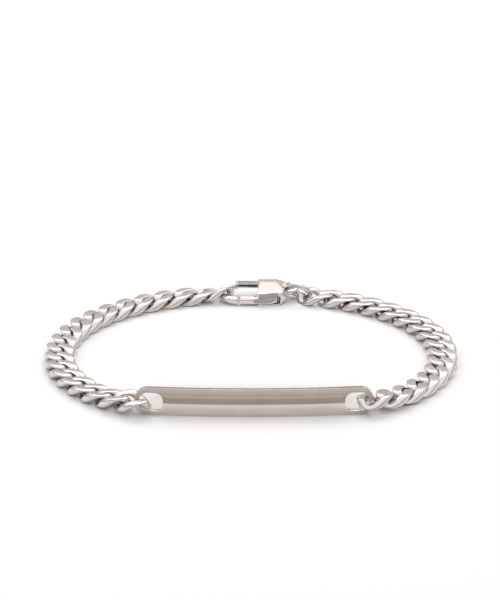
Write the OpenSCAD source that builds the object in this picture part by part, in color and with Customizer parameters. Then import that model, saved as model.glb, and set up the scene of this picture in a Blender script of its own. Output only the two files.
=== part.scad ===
// A curved name plate on a flat curb chain, closed with a lobster clasp and lying on a surface.
// All lengths are in millimetres. The plate is at the front (-Y) and the clasp at the back (+Y).
// Arc lengths run along the closed loop, counter-clockwise seen from above, from the plate's middle.

/* [Loop] */
// Depth of the closed loop as a share of its width
loop_ratio = 0.87; // [0.78:0.005:0.95]
// Squareness of the loop's outline, where 2 is an ellipse
loop_power = 2.05; // [2:0.05:2.5]
// Distance from the loop's front point to the middle of the plate, to the right
plate_shift = 0.5; // [-1:0.1:1]

/* [Plate] */
// Length of the plate from end to end
plate_l = 39; // [32:0.2:48]
// Height of the plate, which stands on its lower edge
plate_h = 4.8; // [4.6:0.1:5.4]
// Thickness in the middle of the domed face
plate_t = 1.1; // [1:0.05:1.2]
// Thickness along the two long edges
plate_edge_t = 0.6; // [0.4:0.05:0.9]
// Radius to which the plate is bent along its length
plate_bend_r = 160; // [100:1:240]
// Angle by which the plate hangs turned from the line between its two rings
plate_swing = -0.6; // [-1:0.1:1]
// Corner radius of the plate's ends
plate_corner_r = 2.1; // [1.2:0.1:2.2]
// Length of the slot at each end
slot_l = 3.9; // [3.8:0.1:4.6]
// Width of the metal left round each slot
slot_rim = 0.8; // [0.6:0.05:0.9]
// Corner radius of the slots
slot_corner_r = 1.3; // [0.8:0.1:1.4]

/* [Chain] */
// Number of links between the left ring of the plate and the clasp
links_left = 18; // [15:1:18]
// Number of links between the right ring of the plate and the jump ring
links_right = 16; // [13:1:16]
// Distance from one link's middle to the next on the left
pitch_left = 3.83; // [3.78:0.01:3.95]
// Distance from one link's middle to the next on the right
pitch_right = 3.9; // [3.78:0.01:3.95]
// Inner length of a link
link_in_l = 4.05; // [4.04:0.01:4.2]
// Outer width of a link before its wire is cut to flats
link_w = 5.1; // [5:0.05:5.3]
// Diameter of the wire
link_wire = 1.5; // [1.35:0.01:1.5]
// Diameter of the wire of the two links next to the clasp, which is slimmer to leave room in their eyes
end_wire = 1.3; // [1.2:0.01:1.35]
// Angle by which each end of a link is twisted out of the chain's plane
link_twist = 55; // [52:1:60]
// Thickness of the chain after pressing flat
chain_t = 2.0; // [1.9:0.05:2.4]
// Height of the plate's rings above the flat chain
ring_lift = 1; // [0.8:0.05:1.1]
// Distance by which these two rings hang loose in their slots
ring_play = 0.6; // [0.5:0.05:0.7]
// Angle by which they are rolled towards lying flat in their slots
ring_roll = 10; // [8:1:12]
// Angle by which the last left link is rolled up round the clasp's hook
hook_roll = 14.5; // [14:0.5:15]
// Angle by which it rises from its neighbour to the hook
hook_rise = 5.8; // [5.4:0.1:6.2]

/* [Jump ring] */
// Inner diameter of the ring between the clasp and the chain
jump_d = 3.5; // [3.3:0.05:4]
// Wire diameter of this ring
jump_wire = 0.86; // [0.8:0.02:0.86]
// Distance between the two eyes that the ring joins
jump_run = 3.9; // [3.6:0.05:4]
// Angle by which the ring leans up from lying flat
jump_lean = 46; // [45:0.5:47]

/* [Clasp] */
// Width of the clasp's body
clasp_w = 6.6; // [6.2:0.1:7]
// Thickness of the body
clasp_t = 2.75; // [2.6:0.05:2.8]
// Length of the body from its front face to the tail hole
clasp_body_l = 5.3; // [5:0.1:6]
// Length of the hook in front of the body
hook_l = 7; // [6.8:0.1:7.4]
// Width of the hook's far bar, which is flat
hook_bar_w = 1.5; // [1.4:0.05:1.6]
// Thickness of this bar
hook_bar_t = 1.1; // [1:0.05:1.2]
// Wire diameter of the hook's bend
hook_bend_d = 1.3; // [1.2:0.05:1.35]
// Angle by which the hook falls towards its tip
hook_fall = 9; // [8.5:0.25:9.25]
// Wire diameter of the lever's gate and of the hook's tip
gate_d = 1.4; // [1.2:0.05:1.4]
// Wire diameter of the tail's eye
tail_wire = 0.92; // [0.88:0.02:0.94]
// Diameter of the tail hole
tail_hole_d = 2.0; // [1.98:0.02:2.06]
// Height of the tail's eye above the surface
tail_lift = 1.68; // [1.64:0.02:1.7]

/* [Hidden] */

// Gap between parts that would touch on the real bracelet
clear = 0.1;
// Slack of the last left link on the hook, and of the jump ring in the eye of the last right link
hook_slack = 0.22;
eye_slack = 0.43;
// Height by which sloping links are raised so that their low ends just clear the surface
low_end_rise = 0.04;
// Where the jump ring's wire passes the tail's hole, from the hole's middle: along, outwards and up
tail_pass = [0.15, -0.11, -0.13];
// Where it passes the last link's eye, from the chain's middle line: inwards and up
eye_pass = [-0.19, 0.21];
// Segments along a link's wire and flats round it
LINK_STEPS = 14;
LINK_SIDES = 6;
// Power of a link's outline, which is blunter than an ellipse, and of the rise of its twist
LINK_POWER = 3;
TWIST_POWER = 0.6;
// Power with which the pressing flattens the humps
PRESS_POWER = 6;
// Number of links, counted from each ring, over which the chain comes down to the surface
LIFT_LINKS = 3;
// Points round the loop, from which arc lengths are worked out
LOOP_STEPS = 360;
ROUND = 48;
FULL_TURN = 360;
// Stock left beyond a cut
spare = 1;

function two(k) = str(k < 10 ? "0" : "", k);
LEFT_NAMES = [for (k = [1:links_left]) str("link_left_", two(k))];
RIGHT_NAMES = [for (k = [1:links_right]) str("link_right_", two(k))];

// Plate: its slots' outer ends, measured round the bend and across
slot_h = plate_h - 2 * slot_rim;
slot_end = plate_l / 2 - slot_rim;
slot_end_angle = slot_end / plate_bend_r * 180 / PI;
slot_end_x = plate_bend_r * sin(slot_end_angle);
bend_depth = plate_bend_r * cos(slot_end_angle);

// Lengths taken up between the slots' outer ends, from the left one round the back to the right one
slot_to_ring = link_in_l / 2 - ring_play;
last_to_hook = link_in_l / 2 - hook_bend_d / 2 - hook_slack;
hook_bar_u = hook_l - hook_bend_d / 2;
eye_reach = link_in_l / 2 - jump_wire / 2 - eye_slack;
chain_len = 2 * slot_to_ring + links_left * pitch_left + links_right * pitch_right
    + last_to_hook + hook_bar_u + clasp_body_l + jump_run + eye_reach;

// Clasp, in its own frame: u along the chain from hook to tail, v outwards, and w up
far_inset = 0.15;
far_v = (clasp_w - hook_bar_w) / 2 - far_inset;
gate_v = -(clasp_w - gate_d) / 2;
gate_w = 0.87;
bend_r = (far_v - gate_v) / 2 / cos(hook_fall);
bend_v = (far_v + gate_v) / 2;
far_w = gate_w + 2 * bend_r * sin(hook_fall);
bend_u = -hook_bar_u + bend_r;
tail_v = 0.9;
tail_r = (tail_hole_d + tail_wire) / 2;
pin_u = 1.9;
pin_v = gate_v + 0.4;
pin_r = 0.4;
pin_play = 0.05;
lever_t = gate_d - 0.3;
lever_boss_r = 0.85;
lever_slot_t = lever_t + 2 * clear;
tab_u = pin_u + 1.2;
tab_v = gate_v + 0.5;
tab_r = 0.4;
// Height of the far bar's middle above the end of the hook's bend, and the bevel on its edges
far_rise = 0.3;
bar_bevel = 0.2;
// Distance from the body's front face to the end of the gate's round part
gate_end = 0.5;
// Angle through which the pocket lets the lever turn inwards
lever_open = 32;
// Where the hook's tip meets the gate, and the small bevel on both
tip_u = -3.3;
tip_gap = 0.14;
tip_bevel = 0.25;
corner_r = 0.8;
// Room behind the lever's tab, in the pocket
pocket_room = 0.4;
// Distances before the tail hole at which the far side and the near side begin to taper
far_taper = 1.3;
near_taper = 1.7;
// Distance by which the near side draws in before its taper
near_draw = 0.7;
// Distances before the tail hole at which the top and the underside begin to slope
top_taper = 2.1;
under_taper = 1.3;
top_slope = atan2(clasp_t - tail_lift - tail_wire / 2, top_taper);
under_slope = atan2(tail_lift - tail_wire / 2, under_taper);

// The loop's outline: a closed curve of width 2, from its front point counter-clockwise
function loop_radius(a) =
    pow(pow(abs(cos(a)), loop_power) + pow(abs(sin(a)) / loop_ratio, loop_power), -1 / loop_power);
UNIT_LOOP = [for (i = [0:LOOP_STEPS]) let (a = -90 + FULL_TURN * i / LOOP_STEPS)
    loop_radius(a) * [cos(a), sin(a)]];
function running_length(points) =
    [for (i = 0, s = 0; i < len(points);
        s = s + (i + 1 < len(points) ? norm(points[i + 1] - points[i]) : 0), i = i + 1) s];
UNIT_S = running_length(UNIT_LOOP);
UNIT_LEN = UNIT_S[LOOP_STEPS];
// Arc length of the front quarter at a given x, which is the same to the left
UNIT_FRONT = [for (i = [0:floor(LOOP_STEPS / 5)]) [UNIT_LOOP[i][0], UNIT_S[i]]];
slot_x_left = slot_end_x - plate_shift;
slot_x_right = slot_end_x + plate_shift;
// Scale at which the front arcs over the plate and the lengths behind it just close the loop
function closed_scale(tries, scale) = tries == 0 ? scale : closed_scale(tries - 1,
    (chain_len + scale * (lookup(slot_x_left / scale, UNIT_FRONT) + lookup(slot_x_right / scale, UNIT_FRONT)))
    / UNIT_LEN);
loop_scale = closed_scale(8, (chain_len + plate_l) / UNIT_LEN);
loop_len = loop_scale * UNIT_LEN;
X_AT = [for (i = [0:LOOP_STEPS]) [loop_scale * UNIT_S[i], loop_scale * UNIT_LOOP[i][0]]];
Y_AT = [for (i = [0:LOOP_STEPS]) [loop_scale * UNIT_S[i], loop_scale * UNIT_LOOP[i][1]]];
function wrap(s) = s < 0 ? s + loop_len : s;
function from_centre(s) = [lookup(wrap(s), X_AT), lookup(wrap(s), Y_AT)];
// Direction of the loop at arc length s, measured over one link
function heading(s) =
    let (d = from_centre(s + pitch_left / 2) - from_centre(s - pitch_left / 2)) atan2(d[1], d[0]);

// Arc length of the k-th piece beside the plate; negative to the left
slot_s_left = loop_scale * lookup(slot_x_left / loop_scale, UNIT_FRONT);
slot_s_right = loop_scale * lookup(slot_x_right / loop_scale, UNIT_FRONT);
function link_s(side, k) = side < 0
    ? -(slot_s_left + slot_to_ring + k * pitch_left)
    : slot_s_right + slot_to_ring + k * pitch_right;
last_left_s = link_s(-1, links_left);
last_right_s = link_s(1, links_right);
hook_s = last_left_s - last_to_hook;

// The origin is halfway from the plate's crest to the far side of the clasp
crest_y = (from_centre(-slot_s_left)[1] + from_centre(slot_s_right)[1]) / 2 + bend_depth
    - plate_bend_r - plate_t / 2;
far_side_y = from_centre(hook_s)[1] + clasp_w / 2 - bend_v;
mid_y = (crest_y + far_side_y) / 2;
function on_loop(s) = from_centre(s) - [0, mid_y];

// Rise of the k-th piece beside the plate above the flat chain, and its slope away from the plate
function lift(k) = k < LIFT_LINKS ? ring_lift * pow(1 - k / LIFT_LINKS, 2) : 0;
function stand(k) = k == 0 || slope(k) == 0 ? 0 : low_end_rise;
function slope(k) = k <= LIFT_LINKS ? atan2(lift(max(k - 1, 0)) - lift(k + 1), 2 * pitch_left) : 0;

// Plate: the bend's axis is behind it, and its slots' outer ends lie on the loop
slot_angle = (slot_end - slot_l / 2) / plate_bend_r * 180 / PI;
slot_left = on_loop(-slot_s_left);
slot_right = on_loop(slot_s_right);
slot_mid = (slot_left + slot_right) / 2;
plate_turn = let (d = slot_right - slot_left) atan2(d[1], d[0]) + plate_swing;
plate_end_angle = plate_l / 2 / plate_bend_r * 180 / PI;
blank_angle = (plate_l / 2 + spare) / plate_bend_r * 180 / PI;
dome_rise = plate_t - plate_edge_t;
dome_r = (pow(plate_h / 2, 2) + pow(dome_rise, 2)) / (2 * dome_rise);

// The clasp lies along the line from the hook's bend to its tail, turned to the loop there
hook_point = on_loop(hook_s);
tail_point = on_loop(hook_s - hook_bar_u - clasp_body_l);
clasp_turn = let (d = tail_point - hook_point) atan2(d[1], d[0]);
function clasp_xy(u, v) = hook_point + (u + hook_bar_u) * [cos(clasp_turn), sin(clasp_turn)]
    + (v - bend_v) * [-sin(clasp_turn), cos(clasp_turn)];

// Jump ring: it passes through the tail's eye and the eye of the last right link, and leans on both
tail_eye = let (p = clasp_xy(clasp_body_l + tail_pass[0], tail_v + tail_pass[1]))
    [p[0], p[1], tail_lift + tail_pass[2]];
last_eye = let (p = on_loop(last_right_s), h = heading(last_right_s))
    [p[0] + eye_reach * cos(h) - eye_pass[0] * sin(h),
    p[1] + eye_reach * sin(h) + eye_pass[0] * cos(h),
    chain_t / 2 + eye_pass[1]];
function unit(v) = v / norm(v);
jump_r = (jump_d + jump_wire) / 2;
jump_x = unit(last_eye - tail_eye);
jump_side = unit(cross([0, 0, 1], jump_x));
jump_y = unit(sin(jump_lean) * cross(jump_x, jump_side) - cos(jump_lean) * jump_side);
jump_z = cross(jump_x, jump_y);
jump_mid = (tail_eye + last_eye) / 2
    + sqrt(pow(jump_r, 2) - pow(norm(last_eye - tail_eye) / 2, 2)) * jump_y;

// Curb link about its own middle: x along the chain, y inwards, z up
function half_l(wire) = (link_in_l + wire) / 2;
function half_w(wire) = (link_w - wire) / 2;
function signed_pow(v, p) = sign(v) * pow(abs(v), p);
function twist_at(x, wire) = -link_twist * signed_pow(x / half_l(wire), TWIST_POWER);
function wire_point(a, wire) =
    let (x = half_l(wire) * signed_pow(cos(a), 2 / LINK_POWER),
        w = half_w(wire) * signed_pow(sin(a), 2 / LINK_POWER),
        t = twist_at(x, wire))
    [x, w * cos(t), w * sin(t)];
function pressed(z) = z / pow(1 + pow(abs(z) / (chain_t / 2), PRESS_POWER), 1 / PRESS_POWER);
// One ring of points round the wire at angle a of the link's outline
function wire_ring(a, wire) =
    let (step = 2,
        p = wire_point(a, wire),
        along = unit(wire_point(a + step, wire) - wire_point(a - step, wire)),
        t = twist_at(p[0], wire),
        plane_normal = [0, -sin(t), cos(t)],
        up = unit(plane_normal - (plane_normal * along) * along),
        out = cross(along, up))
    [for (i = [0:LINK_SIDES - 1]) let (b = FULL_TURN * (i + 0.5) / LINK_SIDES,
        q = p + wire / 2 * (cos(b) * out + sin(b) * up))
        [q[0], q[1], pressed(q[2])]];
function link_points(wire) =
    [for (k = [0:LINK_STEPS - 1]) each wire_ring(FULL_TURN * (k + 0.5) / LINK_STEPS, wire)];
LINK_FACES = [for (k = [0:LINK_STEPS - 1], i = [0:LINK_SIDES - 1])
    let (a = k * LINK_SIDES, b = (k + 1) % LINK_STEPS * LINK_SIDES, j = (i + 1) % LINK_SIDES)
    each [[a + i, b + j, b + i], [a + i, a + j, b + j]]];

module curb_link(wire) {
    color("gainsboro") polyhedron(link_points(wire), LINK_FACES);
}

// A link at arc length s, raised by so much, sloping along the loop and rolled about it
module link_at(s, rise, slope_angle, roll, wire) {
    p = on_loop(s);
    translate([p[0], p[1], chain_t / 2 + rise])
        rotate([roll, -slope_angle, heading(s)])
            curb_link(wire);
}

// The k-th piece beside the plate, where the 0th is the ring in its slot
module chain_link(side, k) {
    if (side < 0 && k == links_left)
        link_at(last_left_s, pitch_left / 2 * sin(hook_rise) + low_end_rise, -hook_rise, hook_roll, end_wire);
    else if (side > 0 && k == links_right)
        link_at(last_right_s, 0, 0, 0, end_wire);
    else
        link_at(link_s(side, k), lift(k) + stand(k), -side * slope(k), k == 0 ? -side * ring_roll : 0,
            link_wire);
}

// A rectangle with round corners, from two squares and four circles
module rounded_rect(l, h, r) {
    square([l - 2 * r, h], center = true);
    square([l, h - 2 * r], center = true);
    for (x = [-1, 1], y = [-1, 1])
        translate([x * (l / 2 - r), y * (h / 2 - r)]) circle(r, $fn = ROUND);
}

// The plate's section: flat inside, domed outside, with r measured from the bend's axis
module plate_section() {
    intersection() {
        translate([-plate_t / 2, 0]) square([plate_t, plate_h]);
        translate([plate_t / 2 - dome_r, plate_h / 2]) circle(dome_r, $fn = 4 * ROUND);
    }
}

// What is cut away at a round end that points to +x, with the end's middle at the origin
module end_waste(h, r) {
    difference() {
        translate([-r, -h / 2 - spare]) square([r + 2 * spare, h + 2 * spare]);
        translate([-2 * r, 0]) rounded_rect(4 * r, h + clear, r);
    }
}

// Cuts a flat shape through the plate at an angle round the bend, seen from the front
module through_plate(angle) {
    rotate([0, 0, angle]) translate([0, -plate_bend_r + plate_t, 0]) rotate([90, 0, 0])
        linear_extrude(2 * plate_t) children();
}

module id_plate() {
    color("silver")
    translate([slot_mid[0], slot_mid[1], 0]) rotate([0, 0, plate_turn]) translate([0, bend_depth, 0])
    difference() {
        rotate([0, 0, -90 - blank_angle])
            rotate_extrude(angle = 2 * blank_angle, $fn = 4 * ROUND)
                translate([plate_bend_r, 0]) plate_section();
        for (side = [-1, 1]) {
            through_plate(side * plate_end_angle)
                translate([0, plate_h / 2]) scale([side, 1]) end_waste(plate_h, plate_corner_r);
            through_plate(side * slot_angle)
                translate([0, plate_h / 2]) rounded_rect(slot_l, slot_h, slot_corner_r);
        }
    }
}

module jump_ring() {
    color("silver")
    multmatrix([
        [jump_x[0], jump_y[0], jump_z[0], jump_mid[0]],
        [jump_x[1], jump_y[1], jump_z[1], jump_mid[1]],
        [jump_x[2], jump_y[2], jump_z[2], jump_mid[2]],
        [0, 0, 0, 1]])
        rotate_extrude($fn = ROUND)
            translate([jump_r, 0]) circle(jump_wire / 2, $fn = ROUND);
}

// Two circles joined by the straight sides that touch both
module belt(p, rp, q, rq) {
    d = norm(q - p);
    along = (q - p) / d;
    side = [-along[1], along[0]];
    lean = (rp - rq) / d;
    n1 = lean * along + sqrt(1 - lean * lean) * side;
    n2 = lean * along - sqrt(1 - lean * lean) * side;
    translate(p) circle(rp, $fn = ROUND);
    translate(q) circle(rq, $fn = ROUND);
    polygon([p + rp * n2, q + rq * n2, q + rq * n1, p + rp * n1]);
}

module at_clasp() {
    p = clasp_xy(0, 0);
    translate([p[0], p[1], 0]) rotate([0, 0, clasp_turn]) children();
}

// The body seen from above: a square shoulder that tapers to the tail's eye
module clasp_outline() {
    half = clasp_w / 2 - corner_r;
    tail = [clasp_body_l, tail_v];
    far = [clasp_body_l - far_taper, half];
    near = [clasp_body_l - near_taper, -half + near_draw];
    end_r = tail_r + tail_wire / 2;
    translate([0, -clasp_w / 2]) square([corner_r, clasp_w]);
    belt([corner_r, half], corner_r, far, corner_r);
    belt([corner_r, -half], corner_r, near, corner_r);
    belt(far, corner_r, tail, end_r);
    belt(near, corner_r, tail, end_r);
    polygon([[corner_r, -half], near, tail, far, [corner_r, half]]);
}

// The pocket in the near side in which the lever turns
module lever_pocket() {
    deep = pin_v + lever_boss_r + clear;
    polygon([
        [-spare, -clasp_w],
        [tab_u + tab_r + pocket_room, -clasp_w],
        [tab_u + tab_r + pocket_room, tab_v + tab_r + clear],
        [tab_u, tab_v + tab_r + clear],
        [pin_u + lever_boss_r / 2, deep],
        [-spare, deep + (spare + pin_u) * tan(lever_open)]]);
    translate([pin_u, pin_v]) circle(lever_boss_r + clear, $fn = ROUND);
}

// The tail's eye: a round ring whose first half is buried in the body's end
module tail_ring() {
    translate([clasp_body_l, tail_v, tail_lift])
        rotate_extrude($fn = ROUND) translate([tail_r, 0]) circle(tail_wire / 2, $fn = ROUND);
}

// A straight bar along u with a bevelled end at its start or its finish
module bar(u_from, u_to, d, bevel_from, bevel_to) {
    translate([u_from, 0, 0]) rotate([0, 90, 0]) {
        if (bevel_from > 0) cylinder(h = bevel_from, d1 = d - 2 * bevel_from, d2 = d, $fn = ROUND);
        translate([0, 0, bevel_from])
            cylinder(h = u_to - u_from - bevel_from - bevel_to, d = d, $fn = ROUND);
        if (bevel_to > 0) translate([0, 0, u_to - u_from - bevel_to])
            cylinder(h = bevel_to, d1 = d, d2 = d - 2 * bevel_to, $fn = ROUND);
    }
}

// The far bar's section, with bevelled edges: its thickness along x and its width along y
module far_bar_section() {
    square([hook_bar_t, hook_bar_w - 2 * bar_bevel], center = true);
    for (side = [-1, 1]) scale([1, side]) polygon([
        [-hook_bar_t / 2, hook_bar_w / 2 - bar_bevel],
        [-hook_bar_t / 2 + bar_bevel, hook_bar_w / 2],
        [hook_bar_t / 2 - bar_bevel, hook_bar_w / 2],
        [hook_bar_t / 2, hook_bar_w / 2 - bar_bevel]]);
}

// The hook: a far bar, a half ring that falls towards the near side, and the short tip
module hook() {
    translate([bend_u - clear, far_v, far_w + far_rise]) rotate([0, 90, 0])
        linear_extrude(corner_r - bend_u + clear) far_bar_section();
    translate([bend_u, far_v, far_w + clear]) sphere(d = hook_bend_d + clear, $fn = ROUND);
    translate([bend_u, bend_v, (far_w + gate_w) / 2]) rotate([hook_fall, 0, 0]) rotate([0, 0, 90])
        rotate_extrude(angle = 180, $fn = 2 * ROUND)
            translate([bend_r, 0]) circle(d = hook_bend_d, $fn = ROUND);
    translate([0, gate_v, gate_w]) bar(bend_u - clear, tip_u - tip_gap, gate_d, 0, tip_bevel);
}

module clasp_body() {
    color("silver")
    at_clasp() {
        difference() {
            linear_extrude(clasp_t) clasp_outline();
            translate([0, 0, gate_w - lever_slot_t / 2])
                linear_extrude(lever_slot_t) lever_pocket();
            translate([clasp_body_l, tail_v, -spare])
                cylinder(h = clasp_t + 2 * spare, r = tail_r, $fn = ROUND);
            translate([clasp_body_l, -clasp_w, -spare])
                cube([4 * tail_r, 2 * clasp_w, clasp_t + 2 * spare]);
            translate([clasp_body_l - top_taper, -clasp_w, clasp_t]) rotate([0, top_slope, 0])
                cube([4 * tail_r, 2 * clasp_w, clasp_t]);
            translate([clasp_body_l - under_taper, -clasp_w, 0]) rotate([0, -under_slope, 0])
                translate([0, 0, -clasp_t]) cube([4 * tail_r, 2 * clasp_w, clasp_t]);
        }
        tail_ring();
        translate([pin_u, pin_v, gate_w - lever_slot_t / 2 - clear])
            cylinder(h = lever_slot_t + 2 * clear, r = pin_r, $fn = ROUND);
        hook();
    }
}

// Lever at rest: a round gate from the hook's tip to the body, and a flat arm on the pin
module clasp_lever() {
    color("gainsboro")
    at_clasp()
    difference() {
        union() {
            translate([0, gate_v, gate_w]) bar(tip_u, -gate_end, gate_d, tip_bevel, (gate_d - lever_t) / 2);
            translate([0, 0, gate_w - lever_t / 2]) linear_extrude(lever_t) {
                belt([-lever_t, gate_v], lever_t / 2, [pin_u, pin_v], lever_boss_r);
                belt([pin_u, pin_v], lever_boss_r, [tab_u, tab_v], tab_r);
            }
        }
        translate([pin_u, pin_v, -spare])
            cylinder(h = clasp_t + 2 * spare, r = pin_r + pin_play, $fn = ROUND);
    }
}

id_plate();
chain_link(-1, 0);  // plate_ring_left
chain_link(1, 0);  // plate_ring_right
for (k = [1:links_left]) chain_link(-1, k);
for (k = [1:links_right]) chain_link(1, k);
jump_ring();
clasp_body();
clasp_lever();
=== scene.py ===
"""Id bracelet lying closed on a pale surface: polished name plate, flat curb chain, lobster clasp."""
import math

import bpy
import numpy as np
from mathutils import Matrix, Vector


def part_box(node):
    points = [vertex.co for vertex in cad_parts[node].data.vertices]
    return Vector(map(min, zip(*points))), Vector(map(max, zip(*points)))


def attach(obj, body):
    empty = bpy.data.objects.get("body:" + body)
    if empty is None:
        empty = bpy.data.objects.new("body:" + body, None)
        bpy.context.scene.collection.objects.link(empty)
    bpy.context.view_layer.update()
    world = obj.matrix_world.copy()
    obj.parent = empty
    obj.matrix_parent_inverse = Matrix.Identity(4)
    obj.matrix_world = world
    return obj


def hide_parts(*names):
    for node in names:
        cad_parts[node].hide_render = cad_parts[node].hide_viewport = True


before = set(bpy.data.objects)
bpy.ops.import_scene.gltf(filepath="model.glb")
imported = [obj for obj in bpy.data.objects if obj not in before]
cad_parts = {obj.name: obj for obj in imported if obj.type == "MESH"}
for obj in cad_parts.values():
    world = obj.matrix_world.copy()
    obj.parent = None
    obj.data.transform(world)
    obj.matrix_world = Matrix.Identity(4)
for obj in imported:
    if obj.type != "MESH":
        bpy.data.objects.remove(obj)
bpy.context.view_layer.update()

# Lengths below are in millimetres, and become metres where a piece is made. Angles are in degrees.
# Where a value has another unit, its comment says so.
MM = 0.001

# Corners of the frame's nodes are one place if they agree to this many decimals of a metre, or lie nearer
# than this to each other in metres. A casting's corners are welded within the last value.
SAME_PLACE_DECIMALS = 7
SAME_PLACE = 1e-7
WELD_REACH = 1e-6

# Name plate, as the frame has it
PLATE_LENGTH = 39
PLATE_HEIGHT = 4.8
PLATE_THICKNESS = 1.1
PLATE_EDGE_THICKNESS = 0.6
PLATE_BEND_RADIUS = 160
PLATE_CORNER_RADIUS = 2.1
PLATE_MIDDLE_X = 0.5
SLOT_LENGTH = 3.9
SLOT_RIM = 0.8
SLOT_CORNER_RADIUS = 1.3

# How the plate's edges are eased, and the angle from which an edge is one
PLATE_EDGE_SOFTNESS = 0.12
PLATE_EDGE_STEPS = 3
PLATE_EDGE_ANGLE = 40

# How finely the plate's curves are drawn
PLATE_CORNER_STEPS = 14
SLOT_CORNER_STEPS = 10
DOME_STEPS = 320
PLATE_SLICES = 52

# How near to the plate's end a corner of the frame's plate lies to count as part of that end
PLATE_END_REACH = 0.1

# Curb link, as the frame has it, with round wire in place of the frame's six flats
LINK_INNER_LENGTH = 4.05
LINK_WIDTH = 5.1
LINK_TWIST = 60
CHAIN_THICKNESS = 2.0
CHAIN_WIRE = 1.6
RING_WIRE = 1.46
END_WIRE = 1.3
JUMP_WIRE = 0.86

# Bluntness of a link's oval, where 2 is an ellipse, and sharpness of the edges of its pressed flats
OUTLINE_POWER = 3
PRESS_POWER = 4

# How finely the wire is drawn: along a link, round its wire, along and round the jump ring's wire
WIRE_STEPS = 110
WIRE_SIDES = 24
JUMP_STEPS = 120
JUMP_SIDES = 28

# Points by which the length of a link's wire is measured, and half the turn, in radians, over which its
# course is read
MEASURING_POINTS = 4001
COURSE_TURN = 0.035

# Clasp's body, as the frame has it
CLASP_WIDTH = 6.6
CLASP_THICKNESS = 2.75

# How finely the clasp's castings are remeshed, and the rounds and the strength of their polish
CASTING_GRAIN = 0.07
POLISH_ROUNDS = 12
POLISH_STRENGTH = 0.5

# Crown of the clasp's top: how far the near edge lies below the crest, where the crest runs before the far
# side, and the height above which the body is crowned
CROWN_DROP = 0.34
CREST_INSET = 2.3
CROWN_FOOT = 1.4

# Angles up to which an edge is shaded smooth
WIRE_SMOOTH_ANGLE = 60
PLATE_SMOOTH_ANGLE = 30

# Painted shade in recesses: how far away the metal that closes one in may be, how open a recess is where
# the painted shade is darkest and where it ends, and the samples by which this is measured
RECESS_REACH = 0.9
RECESS_DARKEST = 0.1
RECESS_OPEN = 0.6
RECESS_SAMPLES = 8

# Handling marks: their scale and detail, the range of their noise, and how they change the tone and the
# roughness
BLOTCH_SCALE = 260
BLOTCH_DETAIL = 4
BLOTCH_RANGE = (0.3, 0.7)
BLOTCH_TONE = 0.94
BLOTCH_ROUGHNESS = (0.75, 1.3)

# Hairline scratches: their strength and detail, and how much finer they are along each axis
SCRATCH_STRENGTH = 0.25
SCRATCH_DETAIL = 6
SCRATCH_STRETCH = (1, 6, 9)

# Paper that the bracelet lies on, its sides in metres
FLOOR_SIZE = 3
FLOOR_TONE = (0.87, 0.87, 0.87)
FLOOR_ROUGHNESS = 0.9
FLOOR_SHEEN = 0.1

# Card that the plate mirrors: gap in front of the plate, outer size over inner, how far back it goes, how
# finely it is drawn, and the places between which its glow changes
FRONT_CARD_GAP = 4.3
FRONT_CARD_REACH = 4
FRONT_CARD_BACK = -20
FRONT_CARD_STEPS = 180
FRONT_CARD_FADE = (-33, -100)
FRONT_CARD_GLOW = (0.41, 0.63)
FRONT_CARD_TINT = (1, 0.94, 0.87)

# Card inside the loop: half its width and half its depth, how finely it is drawn, and the places between
# which its glow changes
INNER_CARD_SIZE = (29, 22)
INNER_CARD_STEPS = 90
INNER_CARD_FADE = (15, -10)
INNER_CARD_GLOW = (0.85, 0.95)
INNER_CARD_TINT = (1, 0.95, 0.9)

# Height at which these two cards lie, and the tint of the small ones
CARD_LIFT = 0.3
SMALL_CARD_TINT = (1, 0.96, 0.945)

# Gauze above the floor behind the plate: its middle, size along x and y, and share of the light let through
GAUZE_PLACE = (0.5, -19.3, 4)
GAUZE_SIZE = (36, 7.6)
GAUZE_TONE = (0.6, 0.58, 0.56)

# Tones of the room from the horizon, 0, to overhead, 1
ROOM_TONES = (
    (0, (0.50, 0.46, 0.42)),
    (0.42, (0.73, 0.70, 0.67)),
    (0.7, (1.1, 1.1, 1.1)),
)

# Camera: its place from the middle of the surface, its pitch downwards, and its lens for the picture's width
CAMERA_BACK = 554.1
CAMERA_HEIGHT = 227.2
CAMERA_SIDE = -0.15
CAMERA_PITCH = 21.44
LENS = 253.6
PICTURE_WIDTH = 36

# Nearest and farthest distance that the camera sees, in metres
NEAREST = 0.01
FARTHEST = 10


def pick(piece):
    """Makes a piece the only one selected, and the active one."""
    bpy.ops.object.select_all(action="DESELECT")
    piece.select_set(True)
    bpy.context.view_layer.objects.active = piece


def named(name):
    """The primitive that was just added, with its name, its place and its size put into its mesh."""
    piece = bpy.context.object
    piece.name = name
    piece.data.name = name
    bpy.ops.object.transform_apply(location=True, rotation=True, scale=True)
    return piece


def apply_modifier(piece, kind, **settings):
    pick(piece)
    modifier = piece.modifiers.new(kind.lower(), kind)
    for key, value in settings.items():
        setattr(modifier, key, value)
    bpy.ops.object.modifier_apply(modifier=modifier.name)


def smooth(piece, angle):
    pick(piece)
    bpy.ops.object.shade_smooth_by_angle(angle=math.radians(angle))


def remove(piece):
    bpy.data.objects.remove(piece, do_unlink=True)


def node_points(node):
    """A node's corner points, each one once, in metres."""
    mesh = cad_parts[node].data
    points = np.array([vertex.co for vertex in mesh.vertices])
    return np.unique(points.round(SAME_PLACE_DECIMALS), axis=0)


def new_material(name):
    material = bpy.data.materials.new(name)
    material.use_nodes = True
    return material


def shader_node(owner, kind, **inputs):
    """A new node of a material or world. Its inputs are set by their names, with underscores for spaces."""
    node = owner.node_tree.nodes.new("ShaderNode" + kind)
    for name, value in inputs.items():
        node.inputs[name.replace("_", " ")].default_value = value
    return node


# Materials

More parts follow.
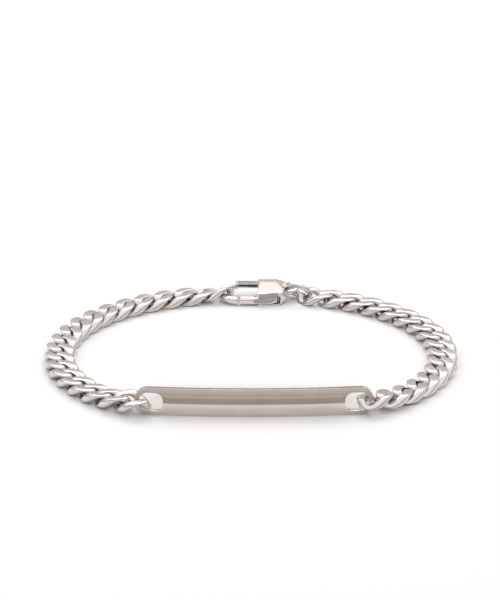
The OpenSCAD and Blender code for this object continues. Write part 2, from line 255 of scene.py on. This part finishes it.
def painted_recess_shade(material, colour, recess_shade_tone):
    """The colour with painted shade: darker in recesses, by how closed in each point is."""
    links = material.node_tree.links
    openness = shader_node(material, "AmbientOcclusion", Distance=RECESS_REACH * MM)
    openness.samples = RECESS_SAMPLES
    recess_shade = shader_node(material, "MapRange", From_Min=RECESS_DARKEST, From_Max=RECESS_OPEN,
        To_Min=recess_shade_tone)
    recess_shade.interpolation_type = "SMOOTHSTEP"
    links.new(openness.outputs["AO"], recess_shade.inputs["Value"])
    shaded = shader_node(material, "VectorMath")
    shaded.operation = "SCALE"
    links.new(colour, shaded.inputs[0])
    links.new(recess_shade.outputs["Result"], shaded.inputs["Scale"])
    return shaded.outputs["Vector"]


def silver(name, tint, roughness, scratch_scale, scratch_depth, recess_shade_tone=1):
    """Polished silver: faint uneven gloss from handling, fine hairline scratches, and, where asked for,
    painted shade in recesses.
    """
    material = new_material(name)
    links = material.node_tree.links
    shader = material.node_tree.nodes["Principled BSDF"]
    shader.inputs["Metallic"].default_value = 1

    place = shader_node(material, "TexCoord")
    blotches = shader_node(material, "TexNoise", Scale=BLOTCH_SCALE, Detail=BLOTCH_DETAIL)
    links.new(place.outputs["Object"], blotches.inputs["Vector"])

    tone = shader_node(material, "ValToRGB")
    darkest, lightest = tone.color_ramp.elements
    darkest.position, lightest.position = BLOTCH_RANGE
    darkest.color = (*[channel * BLOTCH_TONE for channel in tint], 1)
    lightest.color = (*tint, 1)
    links.new(blotches.outputs["Fac"], tone.inputs["Fac"])
    colour = tone.outputs["Color"]
    # Painted shade: the colour is darkened in recesses, where shade falls
    if recess_shade_tone < 1:
        colour = painted_recess_shade(material, colour, recess_shade_tone)
    links.new(colour, shader.inputs["Base Color"])

    low, high = BLOTCH_RANGE
    smoothest, roughest = BLOTCH_ROUGHNESS
    gloss = shader_node(material, "MapRange", From_Min=low, From_Max=high, To_Min=roughness * smoothest,
        To_Max=roughness * roughest)
    links.new(blotches.outputs["Fac"], gloss.inputs["Value"])
    links.new(gloss.outputs["Result"], shader.inputs["Roughness"])

    stretch = shader_node(material, "Mapping", Scale=SCRATCH_STRETCH)
    links.new(place.outputs["Object"], stretch.inputs["Vector"])
    scratches = shader_node(material, "TexNoise", Scale=scratch_scale, Detail=SCRATCH_DETAIL)
    links.new(stretch.outputs["Vector"], scratches.inputs["Vector"])
    bump = shader_node(material, "Bump", Strength=SCRATCH_STRENGTH, Distance=scratch_depth * MM)
    links.new(scratches.outputs["Fac"], bump.inputs["Height"])
    links.new(bump.outputs["Normal"], shader.inputs["Normal"])
    return material


PLATE_SILVER = silver("mirror_polished_silver", (0.735, 0.677, 0.626), roughness=0.12, scratch_scale=420,
    scratch_depth=0.004)
# Chain and clasp silver get painted shade in their recesses; the clasp's is darkest.
CHAIN_SILVER = silver("polished_chain_silver", (0.73, 0.70, 0.685), roughness=0.14, scratch_scale=600,
    scratch_depth=0.006, recess_shade_tone=0.7)
# Same silver as the chain, tinted lighter so that the clasp's top reads near white: a painted highlight.
CLASP_SILVER = silver("polished_cast_silver", (0.80, 0.765, 0.745), roughness=0.12, scratch_scale=500,
    scratch_depth=0.006, recess_shade_tone=0.2)


def dress(piece, material, node):
    """Gives a finished piece its material and its body, and lets it stand for its node."""
    piece.data.materials.clear()
    piece.data.materials.append(material)
    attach(piece, "lever" if node == "clasp_lever" else "bracelet")
    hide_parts(node)


# Chain

def signed_power(value, power):
    return np.sign(value) * np.abs(value) ** power


def wire_middle(angle, wire):
    """Middle of the wire at an angle of the link's outline, and how far the link is twisted there."""
    half_length = (LINK_INNER_LENGTH + wire) / 2
    half_width = (LINK_WIDTH - wire) / 2
    along = half_length * signed_power(np.cos(angle), 2 / OUTLINE_POWER)
    across = half_width * signed_power(np.sin(angle), 2 / OUTLINE_POWER)
    twist = -math.radians(LINK_TWIST) * along / half_length
    return np.stack([along, across * np.cos(twist), across * np.sin(twist)], -1), twist


def even_angles(wire):
    """Angles of the outline at which the wire's middle advances by even steps."""
    angles = np.linspace(0, 2 * math.pi, MEASURING_POINTS)
    middle, _ = wire_middle(angles, wire)
    run = np.concatenate([[0], np.cumsum(np.linalg.norm(np.diff(middle, axis=0), axis=1))])
    return np.interp(np.linspace(0, run[-1], WIRE_STEPS + 1), run, angles)[:-1]


def pressed(height):
    """Height of a point after the chain is pressed flat."""
    half = CHAIN_THICKNESS / 2
    return height / (1 + (np.abs(height) / half) ** PRESS_POWER) ** (1 / PRESS_POWER)


def unit_rows(rows):
    return rows / np.linalg.norm(rows, axis=1)[:, None]


def curb_link(name, wire):
    """A ring of round wire, drawn to a blunt oval, twisted at both ends and pressed flat."""
    bpy.ops.mesh.primitive_torus_add(major_segments=WIRE_STEPS, minor_segments=WIRE_SIDES,
        major_radius=1, minor_radius=0.25)
    link = bpy.context.object
    link.name = name

    # Each corner of the torus has its step along the wire and its angle round the wire
    points = np.array([vertex.co for vertex in link.data.vertices])
    step = np.round(np.arctan2(points[:, 1], points[:, 0]) / (2 * math.pi) * WIRE_STEPS).astype(int)
    around = np.arctan2(points[:, 2], np.hypot(points[:, 0], points[:, 1]) - 1)

    angle = even_angles(wire)[step % WIRE_STEPS]
    middle, twist = wire_middle(angle, wire)
    ahead, _ = wire_middle(angle + COURSE_TURN, wire)
    behind, _ = wire_middle(angle - COURSE_TURN, wire)
    along = unit_rows(ahead - behind)
    flat_normal = np.stack([np.zeros_like(twist), -np.sin(twist), np.cos(twist)], -1)
    up = unit_rows(flat_normal - (flat_normal * along).sum(1)[:, None] * along)
    out = np.cross(along, up)
    surface = middle + wire / 2 * (np.cos(around)[:, None] * out + np.sin(around)[:, None] * up)
    surface[:, 2] = pressed(surface[:, 2])
    for vertex, place in zip(link.data.vertices, surface):
        vertex.co = place * MM
    smooth(link, WIRE_SMOOTH_ANGLE)
    return link


def lying_like(node):
    """Where a link of the frame lies: its middle, and its long, broad and thin directions."""
    points = node_points(node)
    middle = points.mean(0)
    _, directions = np.linalg.eigh(np.cov((points - middle).T))
    long_way, broad_way = directions[:, 2], directions[:, 1]
    turn = np.stack([long_way, broad_way, np.cross(long_way, broad_way)], 1)
    return Matrix.Translation(Vector(middle)) @ Matrix(turn.tolist()).to_4x4()


def chain():
    """Every link of the frame gets its own copy of a round link, laid as the frame's link lies."""
    full_link = curb_link("full_link", CHAIN_WIRE)
    ring_link = curb_link("ring_link", RING_WIRE)
    end_link = curb_link("end_link", END_WIRE)
    links = sorted(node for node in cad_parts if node.startswith(("link_", "plate_ring_")))
    last_left = max(node for node in links if node.startswith("link_left_"))
    last_right = max(node for node in links if node.startswith("link_right_"))
    for node in links:
        if node in (last_left, last_right):
            pattern = end_link
        elif node.startswith("plate_ring_"):
            pattern = ring_link
        else:
            pattern = full_link
        copy = pattern.copy()
        copy.data = pattern.data.copy()
        copy.name = node + "_wire"
        copy.data.transform(lying_like(node))
        bpy.context.collection.objects.link(copy)
        dress(copy, CHAIN_SILVER, node)
    for pattern in (full_link, ring_link, end_link):
        remove(pattern)


# Name plate

def bevel_upright_corners(piece, radius, steps):
    """Rounds the four corners of a block as seen from the front."""
    pick(piece)
    bpy.ops.object.mode_set(mode="EDIT")
    bpy.ops.mesh.select_mode(type="EDGE")
    bpy.ops.mesh.select_all(action="DESELECT")
    bpy.ops.object.mode_set(mode="OBJECT")
    for edge in piece.data.edges:
        a, b = (piece.data.vertices[i].co for i in edge.vertices)
        edge.select = abs(a.x - b.x) < SAME_PLACE and abs(a.z - b.z) < SAME_PLACE
    bpy.ops.object.mode_set(mode="EDIT")
    bpy.ops.mesh.bevel(offset=radius * MM, segments=steps, affect="EDGES")
    bpy.ops.object.mode_set(mode="OBJECT")


def block(name, length, thickness, height, x=0):
    bpy.ops.mesh.primitive_cube_add(size=1, location=(x * MM, 0, 0),
        scale=(length * MM, thickness * MM, height * MM))
    return named(name)


def cut_with(piece, tool, operation):
    apply_modifier(piece, "BOOLEAN", operation=operation, object=tool, solver="EXACT")
    remove(tool)


def slice_across(piece, places):
    """Cuts extra edges across a piece so that it can bend smoothly."""
    pick(piece)
    bpy.ops.object.mode_set(mode="EDIT")
    for x in places:
        bpy.ops.mesh.select_all(action="SELECT")
        bpy.ops.mesh.bisect(plane_co=(x * MM, 0, 0), plane_no=(1, 0, 0))
    bpy.ops.object.mode_set(mode="OBJECT")


def flat_plate():
    """A blank with round corners and two slots, domed in front, its edges eased."""
    plate = block("name_plate", PLATE_LENGTH, PLATE_THICKNESS, PLATE_HEIGHT)
    bevel_upright_corners(plate, PLATE_CORNER_RADIUS, PLATE_CORNER_STEPS)
    slot_height = PLATE_HEIGHT - 2 * SLOT_RIM
    slot_place = PLATE_LENGTH / 2 - SLOT_RIM - SLOT_LENGTH / 2
    cutter_depth = 3 * PLATE_THICKNESS
    for side in (-1, 1):
        cutter = block("slot_cutter", SLOT_LENGTH, cutter_depth, slot_height, side * slot_place)
        bevel_upright_corners(cutter, SLOT_CORNER_RADIUS, SLOT_CORNER_STEPS)
        cut_with(plate, cutter, "DIFFERENCE")

    rise = PLATE_THICKNESS - PLATE_EDGE_THICKNESS
    dome_radius = ((PLATE_HEIGHT / 2) ** 2 + rise ** 2) / (2 * rise)
    dome_length = 1.2 * PLATE_LENGTH
    bpy.ops.mesh.primitive_cylinder_add(vertices=DOME_STEPS, radius=dome_radius * MM, depth=dome_length * MM,
        location=(0, (dome_radius - PLATE_THICKNESS / 2) * MM, 0), rotation=(0, math.radians(90), 0))
    cut_with(plate, named("dome_cutter"), "INTERSECT")

    slice_across(plate, np.linspace(-PLATE_LENGTH / 2, PLATE_LENGTH / 2, PLATE_SLICES + 1)[1:-1])
    apply_modifier(plate, "BEVEL", width=PLATE_EDGE_SOFTNESS * MM, segments=PLATE_EDGE_STEPS,
        limit_method="ANGLE", angle_limit=math.radians(PLATE_EDGE_ANGLE))
    return plate


def name_plate():
    """The flat plate, bent and laid where the frame's plate lies."""
    plate = flat_plate()
    bend = PLATE_LENGTH / PLATE_BEND_RADIUS
    apply_modifier(plate, "SIMPLE_DEFORM", deform_method="BEND", deform_axis="Z", angle=bend)

    # Both ends of the frame's plate give its turn, and its box gives its place
    corners = node_points("id_plate")
    end_reach = PLATE_END_REACH * MM
    left_end = corners[corners[:, 0] < corners[:, 0].min() + end_reach].mean(0)
    right_end = corners[corners[:, 0] > corners[:, 0].max() - end_reach].mean(0)
    turn = math.atan2(right_end[1] - left_end[1], right_end[0] - left_end[0])
    plate.data.transform(Matrix.Rotation(turn, 4, "Z"))
    own = np.array([vertex.co for vertex in plate.data.vertices])
    middle = (corners.min(0) + corners.max(0) - own.min(0) - own.max(0)) / 2
    plate.data.transform(Matrix.Translation(Vector(middle)))
    smooth(plate, PLATE_SMOOTH_ANGLE)
    dress(plate, PLATE_SILVER, "id_plate")


# Jump ring and clasp

def jump_ring():
    """A round ring that lies as the frame's ring does."""
    points = node_points("jump_ring")
    middle = (points.min(0) + points.max(0)) / 2
    _, directions = np.linalg.eigh(np.cov((points - points.mean(0)).T))
    upright = Vector(directions[:, 0])
    reach = np.linalg.norm(points - middle, axis=1).max()
    wire_radius = JUMP_WIRE / 2 * MM
    bpy.ops.mesh.primitive_torus_add(major_segments=JUMP_STEPS, minor_segments=JUMP_SIDES,
        major_radius=reach - wire_radius, minor_radius=wire_radius, location=middle,
        rotation=upright.to_track_quat("Z", "Y").to_euler())
    ring = named("jump_ring_wire")
    smooth(ring, WIRE_SMOOTH_ANGLE)
    dress(ring, CHAIN_SILVER, "jump_ring")


def casting(node, name):
    """A softened copy of one of the clasp's parts, like a polished casting."""
    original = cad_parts[node]
    piece = original.copy()
    piece.data = original.data.copy()
    piece.name = name
    piece.parent = None
    bpy.context.collection.objects.link(piece)
    pick(piece)
    bpy.ops.object.mode_set(mode="EDIT")
    bpy.ops.mesh.select_all(action="SELECT")
    bpy.ops.mesh.remove_doubles(threshold=WELD_REACH)
    bpy.ops.object.mode_set(mode="OBJECT")
    apply_modifier(piece, "REMESH", mode="VOXEL", voxel_size=CASTING_GRAIN * MM)
    apply_modifier(piece, "SMOOTH", factor=POLISH_STRENGTH, iterations=POLISH_ROUNDS)
    bpy.ops.object.shade_smooth()
    return piece


def crown(body):
    """Rounds the top of the clasp's body across its width, so that it falls towards the near side."""
    far_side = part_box("clasp_body")[1][1] / MM
    crest = far_side - CREST_INSET
    reach = CLASP_WIDTH - CREST_INSET
    for vertex in body.data.vertices:
        share = min(max((vertex.co.z / MM - CROWN_FOOT) / (CLASP_THICKNESS - CROWN_FOOT), 0), 1)
        vertex.co.z -= share * CROWN_DROP * ((vertex.co.y / MM - crest) / reach) ** 2 * MM


def clasp():
    body = casting("clasp_body", "clasp_casting")
    crown(body)
    dress(body, CLASP_SILVER, "clasp_body")
    dress(casting("clasp_lever", "lever_casting"), CLASP_SILVER, "clasp_lever")


# Studio

def floor():
    """A large sheet of pale matt paper."""
    bpy.ops.mesh.primitive_plane_add(size=FLOOR_SIZE)
    sheet = named("pale_floor")
    paper = new_material("pale_matt_paper")
    shader = paper.node_tree.nodes["Principled BSDF"]
    shader.inputs["Roughness"].default_value = FLOOR_ROUGHNESS
    shader.inputs["Specular IOR Level"].default_value = FLOOR_SHEEN
    shader.inputs["Base Color"].default_value = (*FLOOR_TONE, 1)
    sheet.data.materials.append(paper)


def softbox(name, place, width, height, power):
    """An oblong area light at a place, turned to the middle of the surface, in millimetres and watts."""
    data = bpy.data.lights.new(name, "AREA")
    data.shape = "RECTANGLE"
    data.size = width * MM
    data.size_y = height * MM
    data.energy = power
    lamp = bpy.data.objects.new(name, data)
    lamp.location = Vector(place) * MM
    lamp.rotation_euler = (-Vector(place)).to_track_quat("-Z", "Y").to_euler()
    bpy.context.collection.objects.link(lamp)


def only_shader(name, kind, **inputs):
    """A material made of one plain shader, and that shader."""
    material = new_material(name)
    nodes = material.node_tree.nodes
    nodes.remove(nodes["Principled BSDF"])
    shader = shader_node(material, kind, **inputs)
    material.node_tree.links.new(shader.outputs[0], nodes["Material Output"].inputs["Surface"])
    return material, shader


def card_paint(name, glow, tint, fade=(0, 1)):
    """A glow that changes from the first strength to the second between two places along y."""
    paint, light = only_shader(name, "Emission", Color=(*tint, 1))
    links = paint.node_tree.links
    place = shader_node(paint, "TexCoord")
    parts = shader_node(paint, "SeparateXYZ")
    links.new(place.outputs["Object"], parts.inputs["Vector"])
    change = shader_node(paint, "MapRange", From_Min=fade[0] * MM, From_Max=fade[1] * MM,
        To_Min=glow[0], To_Max=glow[1])
    change.interpolation_type = "SMOOTHSTEP"
    links.new(parts.outputs["Y"], change.inputs["Value"])
    links.new(change.outputs["Result"], light.inputs["Strength"])
    return paint


def lay_card(card, paint):
    """The metal mirrors a card; the camera and the shadows don't have it."""
    card.data.materials.append(paint)
    card.visible_camera = False
    card.visible_diffuse = False
    card.visible_shadow = False


def front_card():
    """A dim card lying in front of the plate, curved as the plate is."""
    inner = PLATE_BEND_RADIUS + FRONT_CARD_GAP
    plate_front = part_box("id_plate")[0][1]
    bend_centre = (PLATE_MIDDLE_X * MM, plate_front + PLATE_BEND_RADIUS * MM, CARD_LIFT * MM)
    bpy.ops.mesh.primitive_circle_add(vertices=FRONT_CARD_STEPS, radius=inner * MM, location=bend_centre)
    bpy.ops.object.mode_set(mode="EDIT")
    bpy.ops.mesh.extrude_region_move()
    bpy.ops.transform.resize(value=(FRONT_CARD_REACH, FRONT_CARD_REACH, 1), center_override=bend_centre)
    bpy.ops.mesh.select_all(action="SELECT")
    bpy.ops.mesh.bisect(plane_co=(0, FRONT_CARD_BACK * MM, 0), plane_no=(0, 1, 0), clear_outer=True)
    bpy.ops.object.mode_set(mode="OBJECT")
    paint = card_paint("warm_grey_card", FRONT_CARD_GLOW, FRONT_CARD_TINT, FRONT_CARD_FADE)
    lay_card(named("dim_front_card"), paint)


def inner_card():
    """A dim card lying inside the closed loop."""
    bpy.ops.mesh.primitive_circle_add(vertices=INNER_CARD_STEPS, radius=MM, fill_type="NGON",
        location=(0, 0, CARD_LIFT * MM))
    bpy.context.object.scale = (*INNER_CARD_SIZE, 1)
    paint = card_paint("pale_grey_card", INNER_CARD_GLOW, INNER_CARD_TINT, INNER_CARD_FADE)
    lay_card(named("dim_inner_card"), paint)


def small_card(name, place, size, glow, stands=False):
    """An even card round a place, lying or standing, in millimetres."""
    bpy.ops.mesh.primitive_plane_add(size=MM, location=Vector(place) * MM,
        rotation=(math.radians(90) if stands else 0, 0, 0))
    bpy.context.object.scale = (*size, 1)
    lay_card(named(name), card_paint(name + "_paint", (glow, glow), SMALL_CARD_TINT))


def small_cards():
    """Cards for the plate's top edge and the clasp: its top, its hook's far bar, its gate and its side."""
    small_card("dim_plate_top_card", (0.5, -20, 8), (38, 4), 0.4, stands=True)
    small_card("pale_top_card", (8.5, 60, 28), (15, 27.6), 1.25, stands=True)
    small_card("dim_bar_back_card", (-0.7, 28.4, 2.8), (3.4, 1), 0.5, stands=True)
    small_card("dim_bar_roof_card", (-0.7, 27, 3.3), (3.4, 2.8), 0.5)
    small_card("dark_bar_card", (-0.7, 22.95, 0.8), (3.4, 1.5), 0.05, stands=True)
    small_card("pale_gate_card", (-3.6, 17.5, 0.35), (8, 7), 0.95)
    small_card("dim_body_card", (3.7, 17.65, 0.35), (6.2, 7.3), 0.42)


def gauze():
    """A thin cloth that shades the floor behind the plate. The camera and the metal don't see it."""
    bpy.ops.mesh.primitive_plane_add(size=MM, location=Vector(GAUZE_PLACE) * MM)
    bpy.context.object.scale = (*GAUZE_SIZE, 1)
    sheet = named("plate_gauze")
    paint, _ = only_shader("thin_gauze", "BsdfTransparent", Color=(*GAUZE_TONE, 1))
    sheet.data.materials.append(paint)
    sheet.visible_camera = False
    sheet.visible_glossy = False


def room():
    """A pale room, dimmer and warmer towards the horizon than overhead."""
    world = bpy.data.worlds.new("pale_room")
    world.use_nodes = True
    links = world.node_tree.links
    place = shader_node(world, "TexCoord")
    parts = shader_node(world, "SeparateXYZ")
    links.new(place.outputs["Generated"], parts.inputs["Vector"])
    tone = shader_node(world, "ValToRGB")
    stops = tone.color_ramp.elements
    while len(stops) < len(ROOM_TONES):
        stops.new(1)
    for stop, (height, colour) in zip(stops, ROOM_TONES):
        stop.position = height
        stop.color = (*colour, 1)
    links.new(parts.outputs["Z"], tone.inputs["Fac"])
    links.new(tone.outputs["Color"], world.node_tree.nodes["Background"].inputs["Color"])
    bpy.context.scene.world = world


def studio():
    floor()
    front_card()
    inner_card()
    small_cards()
    gauze()
    softbox("key_softbox", (0, 330, 440), width=420, height=320, power=0.9)
    softbox("back_softbox", (-60, 560, 380), width=700, height=160, power=0.12)
    softbox("left_softbox", (-520, -60, 260), width=320, height=320, power=0.2)
    room()
    bpy.context.scene.view_settings.view_transform = "Standard"


def camera():
    data = bpy.data.cameras.new("camera")
    data.sensor_fit = "HORIZONTAL"
    data.sensor_width = PICTURE_WIDTH
    data.lens = LENS
    data.clip_start = NEAREST
    data.clip_end = FARTHEST
    eye = bpy.data.objects.new("camera", data)
    eye.location = (CAMERA_SIDE * MM, -CAMERA_BACK * MM, CAMERA_HEIGHT * MM)
    eye.rotation_euler = (math.radians(90 - CAMERA_PITCH), 0, 0)
    bpy.context.collection.objects.link(eye)
    bpy.context.scene.camera = eye


camera()
studio()
chain()
name_plate()
jump_ring()
clasp()
